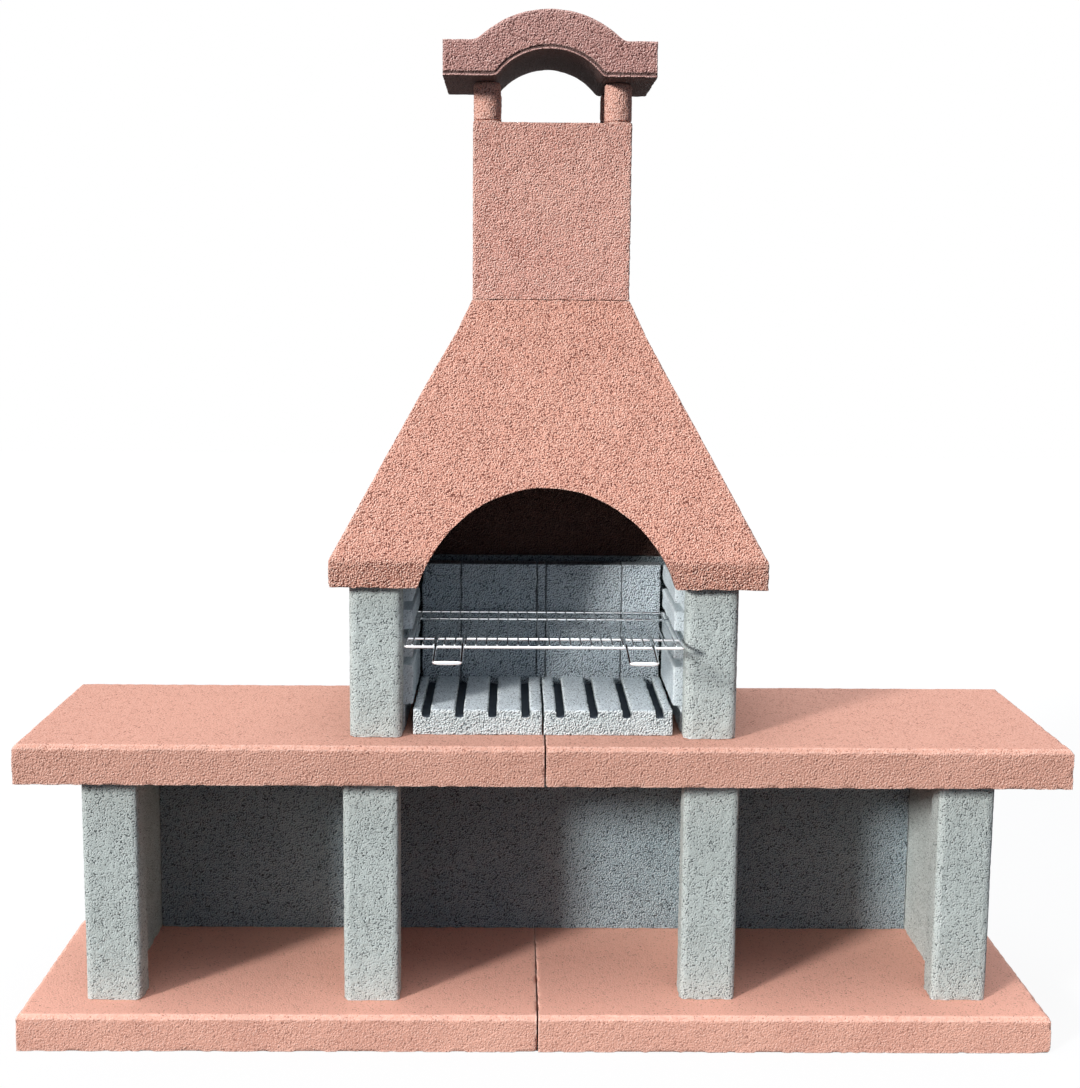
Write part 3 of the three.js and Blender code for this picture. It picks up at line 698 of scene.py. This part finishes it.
def hearth(node, side, seed):
    """A hearth slab: a block whose top goes down at each slot, from front to back, by a depth
    read off between the stops along its width."""
    low, high = corners(node)
    half = STEP / 2
    stops, depths, sizes = [0.0], [0], []
    for centre in HEARTH_SLOTS:
        for edge, before, after in ((-1, 0, SLOT_DEPTH), (1, SLOT_DEPTH, 0)):
            at = centre + edge * SLOT_WIDTH / 2
            stops += [at - half, at + half]
            depths += [before, after]
            sizes += [4.5, STEP / 5]
    stops += [high[0] - low[0]]
    depths += [0]
    sizes += [4.5]
    skin, quads = block_skin(
        lines(stops, sizes),
        edged(low[1], high[1], step=5.0),
        lines([0, 1], [1 / 12]),
    )
    top = high[2] - np.interp(skin[:, 0], stops, depths)
    skin[:, 2] = low[2] + skin[:, 2] * (top - low[2])

    def painted_slot_shade(points, normals):
        """The floors of the slots, painted dark as shade, and their sides by half. The slab's own
        ends stay unpainted."""
        deep = np.clip((high[2] - 3 - points[:, 2]) / 6, 0, 1)
        within = np.abs(points[:, 0] - (low[0] + high[0]) / 2) < (high[0] - low[0]) / 2 - 1
        floors, sides = normals[:, 2] > 0.5, np.abs(normals[:, 0]) > 0.5
        return deep * floors + 0.5 * deep * sides * within

    casting(node, handed(skin, quads, low[0], high[0], side, mirrored_side=-1), HEARTH_PALE,
            "refractory_concrete", seed, wander=0.6, grit=0.8, chip=3.0, sooty=painted_slot_shade)


# The hood's sizes in the slabs' own frame. Inside, a ledge stands over the firebox walls.
HOOD_FOOT = 990
LIP_TOP = 1046
HOOD_TOP = 1581
HOOD_HALF = 455
HOOD_TOP_HALF = 171.5
LIP_ASIDE = 4.5
CHIMNEY_ASIDE = 8.5
HOOD_FRONT = -252
HOOD_TOP_FRONT = 29
HOOD_REAR = 285
INSIDE_LIP_HALF = 352
INSIDE_HALF = 392
INSIDE_TOP_HALF = 114.5
INSIDE_FRONT = -195
INSIDE_TOP_FRONT = 86
INSIDE_LIP_REAR = 225
INSIDE_REAR = 235
LEDGE = 12
ARCH_HALF = 266
ARCH_RISE = 201

# How far the hood's side slopes stand in, and its shares at shares of the slope's height
SLOPE_HOLLOW = 6
RIGHT_HOLLOW = ([0, 0.85, 1], [0, 1, 0])
LEFT_HOLLOW = ([0, 0.7, 0.87, 1], [0, 0.2, 0.8, 0])


def slope(height):
    """How far up the hood's slopes a height is: 0 at the lip's top and 1 at the hood's."""
    return np.clip((height - LIP_TOP) / (HOOD_TOP - LIP_TOP), 0, 1)


def hood_outside(height):
    """The hood's outer wall: upright at the lip, then straight to its sizes at the top."""
    t = slope(height)
    half = HOOD_HALF + t * (HOOD_TOP_HALF - HOOD_HALF)
    front = HOOD_FRONT + t * (HOOD_TOP_FRONT - HOOD_FRONT)
    aside = LIP_ASIDE + t * (CHIMNEY_ASIDE - LIP_ASIDE)
    return MIDDLE_X + aside, half, MIDDLE_Y + front, MIDDLE_Y + HOOD_REAR


def hood_inside(height):
    """The hood's inner wall: upright at the lip, out over the ledge, then straight to the top."""
    t = slope(height)
    stops = [HOOD_FOOT, LIP_TOP, LIP_TOP + LEDGE, HOOD_TOP]
    halves = [INSIDE_LIP_HALF, INSIDE_LIP_HALF, INSIDE_HALF, INSIDE_TOP_HALF]
    half = np.interp(height, stops, halves)
    front = INSIDE_FRONT + t * (INSIDE_TOP_FRONT - INSIDE_FRONT)
    rear = np.interp(height, stops[:3], [INSIDE_LIP_REAR, INSIDE_LIP_REAR, INSIDE_REAR])
    aside = LIP_ASIDE + t * (CHIMNEY_ASIDE - LIP_ASIDE)
    return MIDDLE_X + aside, half, MIDDLE_Y + front, MIDDLE_Y + rear


def hood(seed):
    """The hood. Across its front the upright lines start on the arch, which is a circle's arc
    x = R sin a, z = c + R cos a, or on the level foot to either side of it."""
    radius = (ARCH_HALF ** 2 + ARCH_RISE ** 2) / (2 * ARCH_RISE)
    centre = HOOD_FOOT + ARCH_RISE - radius
    reach = math.atan2(ARCH_HALF, HOOD_FOOT - centre)
    angle = np.linspace(-reach, reach, 161)
    arch_x, arch_z = radius * np.sin(angle), centre + radius * np.cos(angle)
    beside = 37

    def front_places(wall):
        """The places across a wall's front: evenly up to the arch, along it and evenly on."""
        aside, half, _, _ = wall(arch_z)
        over = (arch_x + MIDDLE_X - aside) / half
        left = np.linspace(-1, over[0], beside + 1)[:-1]
        right = np.linspace(over[-1], 1, beside + 1)[1:]
        return np.concatenate([left, over, right])

    across_out, across_in, deep = plan_round(
        front_places(hood_outside), front_places(hood_inside), side_steps=81, rear_steps=61)
    foot = np.full(len(deep), float(HOOD_FOOT))
    foot[beside:beside + len(arch_z)] = arch_z
    lip = (LIP_TOP - HOOD_FOOT) / (HOOD_TOP - HOOD_FOOT)
    climb = lines([0, 0.01, lip, 0.99, 1], [0.0034, 0.0085, 0.0085, 0.0034])
    descent = lines([1, lip, 0], [0.03, 0.015])
    rim = np.linspace(0, 1, 11)[1:-1]
    skin, quads = walled_skin(across_out, across_in, deep, foot, HOOD_TOP,
                              hood_outside, hood_inside, climb, descent, rim)
    # Both side slopes are a little hollow and flare to the flue's sides.
    t = slope(skin[:, 2])
    across = (skin[:, 0] - MIDDLE_X) / HOOD_HALF
    skin[:, 0] -= SLOPE_HOLLOW * np.interp(t, *RIGHT_HOLLOW) * np.clip(across * 3, 0, 1)
    skin[:, 0] += SLOPE_HOLLOW * np.interp(t, *LEFT_HOLLOW) * np.clip(-across * 4, 0, 1)

    def painted_shade_at(points, normals):
        """The inner wall, painted dark as shade from 25 mm within the outer one."""
        aside, half, front, rear = hood_outside(points[:, 2])
        within = np.minimum(half - np.abs(points[:, 0] - aside), points[:, 1] - front)
        return 0.8 * np.clip((np.minimum(within, rear - points[:, 1]) - 25) / 10, 0, 1)

    casting("hood", (skin, quads), ROSE_WASHED, "rose_concrete", seed, wander=1.0, grit=1.8,
            chip=2.5, sooty=painted_shade_at)


FLUE_WALL = 50
FLUE_PAD = 4
COLUMN_RADIUS = 30
COLUMN_FILLET = 7
COLUMN_SHOULDER = 8
COLUMN_PLACES = ("front_left", "front_right", "rear_left", "rear_right")


def flue(seed):
    """The flue: a hollow square block whose rim rises in a low pad under each column. Round the
    pad its height falls as the square of the way left over the fillet."""
    low, high = corners("chimney_flue")
    top = high[2] - FLUE_PAD
    half, middle = (high[0] - low[0]) / 2, (high[0] + low[0]) / 2
    front = np.linspace(-1, 1, 73)
    across, _, deep = plan_round(front, front, side_steps=51, rear_steps=73)
    skin, quads = walled_skin(
        across, across, deep, np.full(len(deep), low[2]), top,
        lambda z: (middle, half, low[1], high[1]),
        lambda z: (middle, half - FLUE_WALL, low[1] + FLUE_WALL, high[1] - FLUE_WALL),
        edged(0, 1, 0.0125, 0.005), np.linspace(1, 0, 30), np.linspace(0, 1, 14)[1:-1],
    )
    on_top = skin[:, 2] > top - 0.1
    for place in COLUMN_PLACES:
        start, end = corners("chimney_column_" + place)
        away = np.hypot(*(skin[:, :2] - ((start + end) / 2)[:2]).T)
        rise = np.clip((COLUMN_RADIUS + COLUMN_FILLET - away) / COLUMN_FILLET, 0, 1) ** 2
        skin[:, 2] += FLUE_PAD * rise * on_top

    def painted_shade_at(points, normals):
        """The bore, painted dark as shade."""
        within = np.minimum(half - np.abs(points[:, 0] - middle), points[:, 1] - low[1])
        return 0.8 * (np.minimum(within, high[1] - points[:, 1]) > FLUE_WALL - 1)

    casting("chimney_flue", (skin, quads), ROSE_FLUE, "rose_concrete", seed, wander=0.8,
            grit=1.6, chip=2.5, sooty=painted_shade_at)


def column(node, seed):
    """A column: a surface of revolution with a flat foot and a shoulder rounded by a quarter
    circle."""
    low, high = corners(node)
    turn = np.linspace(0, math.pi / 2, 6)[1:]
    height = lines([low[2] + 2, high[2] - COLUMN_SHOULDER], [3.0])
    radii = np.concatenate([
        [0, 12, 22, 28], np.full(len(height), float(COLUMN_RADIUS)),
        COLUMN_RADIUS - COLUMN_SHOULDER * (1 - np.cos(turn)), [14, 7, 0],
    ])
    heights = np.concatenate([
        [low[2]] * 4, height, high[2] - COLUMN_SHOULDER * (1 - np.sin(turn)), [high[2]] * 3,
    ])
    skin = turned_skin((low + high)[:2] / 2, radii, heights, sides=60)
    casting(node, skin, ROSE_COLUMN, "rose_concrete", seed, wander=0.6, grit=1.0, chip=1.0)


# The cap's underside and top are humps of a half chord, a rise and a fillet. Its front has a
# band along the underside, which takes BAND_SHARE of the grid's rows, with a bead on it.
CAP_THICKNESS = 74.5
CAP_ARCH = (112, 56, 16)
CAP_CROWN = (154, 63.5, 30)
BAND = 12.5
BAND_SHARE = 0.2
BEAD = 4.5
GROOVE_IN = 5


def hump(x, half_chord, rise, fillet):
    """The height of a circle's arc over its chord, joined to the level line on both sides by a
    fillet of its own radius."""
    radius = (half_chord ** 2 + rise ** 2) / (2 * rise)
    centre = rise - radius
    foot = math.sqrt((radius + fillet) ** 2 - (fillet - centre) ** 2)
    meet = foot * radius / (radius + fillet)
    x = np.abs(x)
    arc = centre + np.sqrt(np.clip(radius ** 2 - x ** 2, 0, None))
    curl = fillet - np.sqrt(np.clip(fillet ** 2 - (foot - x) ** 2, 0, None))
    return np.where(x < meet, arc, np.where(x < foot, curl, 0))


def cap(seed):
    """The cap: a block whose underside and top follow two humps. Its front has a round bead along
    the underside's line with a groove above it. lean is sqrt(1 + slope2), the upright length that
    a measure square to the underside's line takes up."""
    low, high = corners("chimney_cap")
    middle = (low[0] + high[0]) / 2
    xs = lines([low[0], high[0]], [3.6])
    steep = np.abs(np.gradient(hump(xs - middle, *CAP_ARCH), xs))
    lean = np.clip(np.sqrt(1 + steep ** 2), 1, 1.6)
    rows = [np.linspace(0, BAND_SHARE, 11), np.linspace(BAND_SHARE, 1, 14)[1:]]
    skin, quads = block_skin(xs, lines([low[1], high[1]], [5.2]), np.concatenate(rows))
    x = skin[:, 0] - middle
    leaning = np.interp(skin[:, 0], xs, lean)
    under = low[2] + hump(x, *CAP_ARCH)
    over = low[2] + CAP_THICKNESS + hump(x, *CAP_CROWN)
    share = skin[:, 2].copy()
    band = BAND * leaning
    rest = np.clip((share - BAND_SHARE) / (1 - BAND_SHARE), 0, 1)
    height = np.minimum(share / BAND_SHARE, 1) * band + rest * (over - under - band)
    skin[:, 2] = under + height
    relief = np.interp(height / leaning, [0, BEAD, BEAD + 1.2, BEAD + 4.2, BEAD + 5.6],
                       [0, 0, GROOVE_IN, GROOVE_IN, 1.0])
    skin[:, 1] += np.where(skin[:, 1] < low[1] + 0.01, relief, 0)

    def painted_shade_at(points, normals):
        """The underside and the groove, painted dark as shade."""
        above = points[:, 2] - low[2] - hump(points[:, 0] - middle, *CAP_ARCH)
        above = above / np.interp(points[:, 0], xs, lean)
        in_front = (points[:, 1] > low[1] + 1) & (points[:, 1] < low[1] + GROOVE_IN + 2)
        groove = in_front & (above > BEAD) & (above < BEAD + 5)
        underside = np.clip(-2 * normals[:, 2] - 0.4, 0, 1) * (above < 3)
        return np.maximum(0.85 * underside, 0.7 * groove)

    casting("chimney_cap", (skin, quads), MAUVE_WASHED, "mauve_concrete", seed, wander=0.7,
            grit=1.0, chip=1.2, sooty=painted_shade_at)


# The grill. ROD and WIRE are radii, and the handle's reach and drop run from the grill's front.

ROD = 3.0
WIRE = 1.75
RING_BEND = 10
CROSS_ROD_INSET = 86
WIRES = 26
WIRE_MARGIN = 16
HANDLE_REACH = 128
HANDLE_DROP = 12
HANDLE_BEND = 8
GRIP_HALF = 27
GRIP_SWELL = 1.3


def bent(points, reach, steps):
    """A line through corners, each cut by the parabola (1-t)2 a + 2t(1-t) c + t2 b that starts
    and ends at the reach from it. The first and last points are kept."""
    points = np.asarray(points, float)
    t = np.linspace(0, 1, steps)[:, None]
    parts = [points[:1]]
    for before, corner, after in zip(points, points[1:], points[2:]):
        a = corner + (before - corner) / np.linalg.norm(before - corner) * reach
        b = corner + (after - corner) / np.linalg.norm(after - corner) * reach
        parts.append((1 - t) ** 2 * a + 2 * t * (1 - t) * corner + t ** 2 * b)
    return np.concatenate([*parts, points[-1:]])


def straight_rod(start, end, radius, sides=12):
    """A straight rod whose ends are half balls: radius r sin a at r (1 - cos a) from its tip."""
    start, end = np.array(start, float), np.array(end, float)
    way = (end - start) / np.linalg.norm(end - start)
    turn = np.linspace(0, math.pi / 2, 5)
    ahead = radius * (1 - np.cos(turn))
    path = np.concatenate([start + ahead[:, None] * way, end - ahead[::-1, None] * way])
    radii = np.concatenate([radius * np.sin(turn), radius * np.sin(turn[::-1])])
    return rod_skin(path, radii, sides)


def cooking_grill():
    """The grill: a bent ring of rod, two rods across it and wires welded on top."""
    low, high = corners("cooking_grill")
    x0, x1 = low[0] + ROD, high[0] - ROD
    y0, y1 = low[1] + ROD, high[1] - ROD
    level = low[2] + ROD
    ring = [(0, y0), (x0, y0), (x0, y1), (x1, y1), (x1, y0), (0, y0)]
    path = bent([(x, y, level) for x, y in ring], RING_BEND, 8)[:0:-1]
    skins = [rod_skin(path, np.full(len(path), ROD), 14, closed=True)]
    for y in (y0 + CROSS_ROD_INSET, y1 - CROSS_ROD_INSET):
        skins.append(straight_rod((x0, y, level), (x1, y, level), ROD - 0.05, 14))
    height = high[2] - WIRE
    for x in np.linspace(x0 + WIRE_MARGIN, x1 - WIRE_MARGIN, WIRES):
        skins.append(straight_rod((x, y0 - 2, height), (x, y1 + 2, height), WIRE))
    points, quads = joined(*together(skins))
    new_piece("cooking_grill_wirework", points, quads, CHROME, ["cooking_grill"],
              "chromed_wire", "grill")
    return y0, level


def grill_handle(node, front, level):
    """A handle: a rod bent to a U, with rounded tips. Its radius swells over the grip as
    3 + 1.3 (1 - t2)^0.7."""
    low, high = corners(node)
    near, far = low[0] + ROD, high[0] - ROD
    lying = level + 2 * ROD
    hanging = lying - HANDLE_DROP
    tip = front - HANDLE_REACH
    path = [
        (near, front + CROSS_ROD_INSET + 5, lying), (near, front - 8, lying),
        (near, tip, hanging), (far, tip, hanging),
        (far, front - 8, lying), (far, front + CROSS_ROD_INSET + 5, lying),
    ]
    line = bent(path, HANDLE_BEND, 7)
    spots = np.flatnonzero(np.abs(line[:, 1] - tip) < 0.01)
    left, right = line[spots[0]], line[spots[-1]]
    span = np.linspace(0, 1, 26)[1:-1, None]
    line = np.concatenate([line[:spots[0] + 1], left + span * (right - left), line[spots[-1]:]])
    along = (line[:, 0] - (near + far) / 2) / GRIP_HALF
    swell = np.where(np.abs(line[:, 1] - tip) < 2, np.clip(1 - along ** 2, 0, 1), 0)
    tips = np.array([[0, 1.6, 0], [0, 0.8, 0]])
    line = np.concatenate([line[:1] + tips, line, line[-1:] + tips[::-1]])
    ends = np.array([0.0, 0.7]) * ROD
    radii = np.concatenate([ends, ROD + GRIP_SWELL * swell ** 0.7, ends[::-1]])
    points, quads = joined(*rod_skin(line, radii, 16))
    points[:, 1] = np.maximum(points[:, 1], low[1])
    new_piece(node + "_rod", points, quads, CHROME, [node], "chromed_wire", "grill")


# The whole object

slab("base_slab_left", -1, ROSE_BASE, 1)
slab("base_slab_right", 1, ROSE_BASE, 2)
slab("worktop_left", -1, ROSE_WORKTOP, 3)
slab("worktop_right", 1, ROSE_WORKTOP, 4)
for number, (node, side, inset) in enumerate((
        ("base_leg_outer_left", -1, 14), ("base_leg_inner_left", -1, 14),
        ("base_leg_inner_right", 1, 14), ("base_leg_outer_right", 1, 21))):
    side_panel(node, side, depth=72, corner=13, inset=inset, wall=60, seed=5 + number)
for number, (node, side) in enumerate((("firebox_side_left", -1), ("firebox_side_right", 1))):
    side_panel(node, side, depth=60, corner=17, inset=10, wall=60, seed=10 + number)
for number, node in enumerate((
        "base_back_left", "base_back_centre", "base_back_right", "firebox_back")):
    panel(node, GREY_PANEL, "grey_concrete", 12 + number)
for number, node in enumerate((
        "fireback_outer_left", "fireback_inner_left", "fireback_joint_strip",
        "fireback_inner_right", "fireback_outer_right")):
    panel(node, FIREBRICK, "refractory_concrete", 16 + number, chip=4.0, ends=0.2)
holder("grill_holder_left", -1, 22)
holder("grill_holder_right", 1, 23)
hearth("hearth_slab_left", -1, 24)
hearth("hearth_slab_right", 1, 25)
hood(26)
flue(27)
for number, place in enumerate(COLUMN_PLACES):
    column("chimney_column_" + place, 28 + number)
cap(33)
grill_measures = cooking_grill()
grill_handle("grill_handle_left", *grill_measures)
grill_handle("grill_handle_right", *grill_measures)


# The studio. The floor is brighter away from the rectangle that the object stands on.

STOOD_ON_MIDDLE = (-0.005, MIDDLE_Y * MM)
STOOD_ON_HALF = (1.085, 0.275)
FLOOR_REACH = 14.0
FLOOR_LEVEL = -0.0005


def shown_to_the_eye(material, shown, lighting):
    """Shows one shader to camera, glossy and transmission rays. The other throws the light."""
    rays = add_node(material, "ShaderNodeLightPath").outputs
    seen = add_node(material, "ShaderNodeMath", {
        0: rays["Is Camera Ray"], 1: rays["Is Glossy Ray"],
    }, operation="MAXIMUM")
    seen = add_node(material, "ShaderNodeMath", {
        0: seen, 1: rays["Is Transmission Ray"],
    }, operation="MAXIMUM")
    return add_node(material, "ShaderNodeMixShader", {0: seen, 1: lighting, 2: shown})


def open_floor(material, share):
    """The share outside the rectangle that the object stands on, and 0 inside it."""
    place = add_node(material, "ShaderNodeTexCoord").outputs["Object"]
    to_middle = (-STOOD_ON_MIDDLE[0], -STOOD_ON_MIDDLE[1], 0)
    away = add_node(material, "ShaderNodeVectorMath", {0: place, 1: to_middle}, operation="ADD")
    away = add_node(material, "ShaderNodeVectorMath", {0: away}, operation="ABSOLUTE")
    x, y, _ = add_node(material, "ShaderNodeSeparateXYZ", {0: away}).outputs
    beside, before = (
        add_node(material, "ShaderNodeMath", {0: reach, 1: half}, operation="GREATER_THAN")
        for reach, half in zip((x, y), STOOD_ON_HALF))
    outside = add_node(material, "ShaderNodeMath", {0: beside, 1: before}, operation="MAXIMUM")
    return add_node(material, "ShaderNodeMath", {0: outside, 1: share}, operation="MULTIPLY")


def add_sun(name, strength, spread, travel, colour="ffffff"):
    """A far lamp whose light travels along the given direction. spread is its width in degrees."""
    data = bpy.data.lights.new(name, "SUN")
    data.energy = strength
    data.color = linear(colour)[:3]
    data.angle = math.radians(spread)
    light = bpy.data.objects.new(name, data)
    light.rotation_euler = Vector(travel).to_track_quat("-Z", "Y").to_euler()
    bpy.context.scene.collection.objects.link(light)


def studio():
    """A pale floor, a white surround, a low soft key light from the left in front, a sky light
    round it, a broad light from above and one from behind."""
    paint = new_material("studio_floor")
    pale = add_node(paint, "ShaderNodeBsdfDiffuse", {0: linear("747474")})
    dim = add_node(paint, "ShaderNodeBsdfDiffuse", {0: linear("484848")})
    glow = add_node(paint, "ShaderNodeEmission", {0: (1, 1, 1, 1), 1: 1.8})
    white = add_node(paint, "ShaderNodeMixShader", {0: open_floor(paint, 0.5), 1: pale, 2: glow})
    add_node(paint, "ShaderNodeOutputMaterial", {0: shown_to_the_eye(paint, white, dim)})
    mesh = bpy.data.meshes.new("studio_floor")
    mesh.from_pydata([
        (x * FLOOR_REACH, y * FLOOR_REACH, FLOOR_LEVEL)
        for x, y in ((-1, -1), (1, -1), (1, 1), (-1, 1))
    ], [], [(0, 1, 2, 3)])
    mesh.materials.append(paint)
    floor = bpy.data.objects.new("studio_floor", mesh)
    bpy.context.scene.collection.objects.link(floor)

    world = bpy.data.worlds.new("studio_surround")
    world.use_nodes = True
    world.node_tree.nodes.clear()
    soft = add_node(world, "ShaderNodeBackground", {0: linear("c8dafc"), 1: 0.13})
    white = add_node(world, "ShaderNodeEmission", {0: (1, 1, 1, 1), 1: 1.0})
    add_node(world, "ShaderNodeOutputWorld", {0: shown_to_the_eye(world, white, soft)})
    bpy.context.scene.world = world

    add_sun("key_light", strength=3.6, spread=9, travel=(0.68, 0.70, -0.315))
    add_sun("sky_light", strength=0.6, spread=140, travel=(0.20, 0.85, -0.75), colour="dce8ff")
    add_sun("overhead_light", strength=1.95, spread=60, travel=(0.0, 0.10, -1.0))
    add_sun("back_light", strength=1.4, spread=60, travel=(-0.25, -0.92, -0.08))
    bpy.context.scene.view_settings.view_transform = "Standard"


studio()
